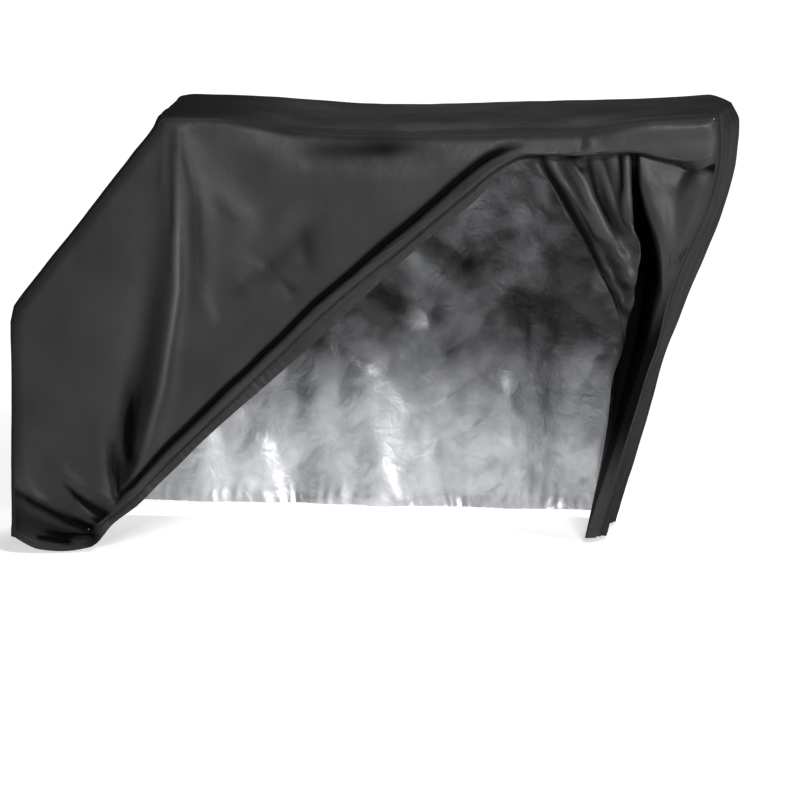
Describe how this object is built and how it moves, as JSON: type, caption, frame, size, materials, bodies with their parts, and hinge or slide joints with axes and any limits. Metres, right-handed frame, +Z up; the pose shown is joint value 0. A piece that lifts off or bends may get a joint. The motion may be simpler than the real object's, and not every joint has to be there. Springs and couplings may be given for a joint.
{
  "type": "bicycle cover",
  "caption": "Fitted weatherproof cover for bicycles, black outside and silver inside, one side lifted on a slant with its hem turned in and the spare cloth hanging in folds",
  "frame": {"origin": "on the underside of the top, half way across and near its middle, where what the cover hides holds it up", "axes": "+X towards the front end, +Y towards the far side, away from the lifted one, +Z up"},
  "size_m": [1.8857, 0.7615, 1.1367],
  "materials": {
    "cover_cloth": "satin",
    "inner_coating": "satin",
    "seam_thread": "matte"
  },
  "bodies": {
    "root": {"side_panel_near": "cover_cloth", "side_panel_far": "cover_cloth", "centre_strip": "cover_cloth"}
  },
  "joints": []
}
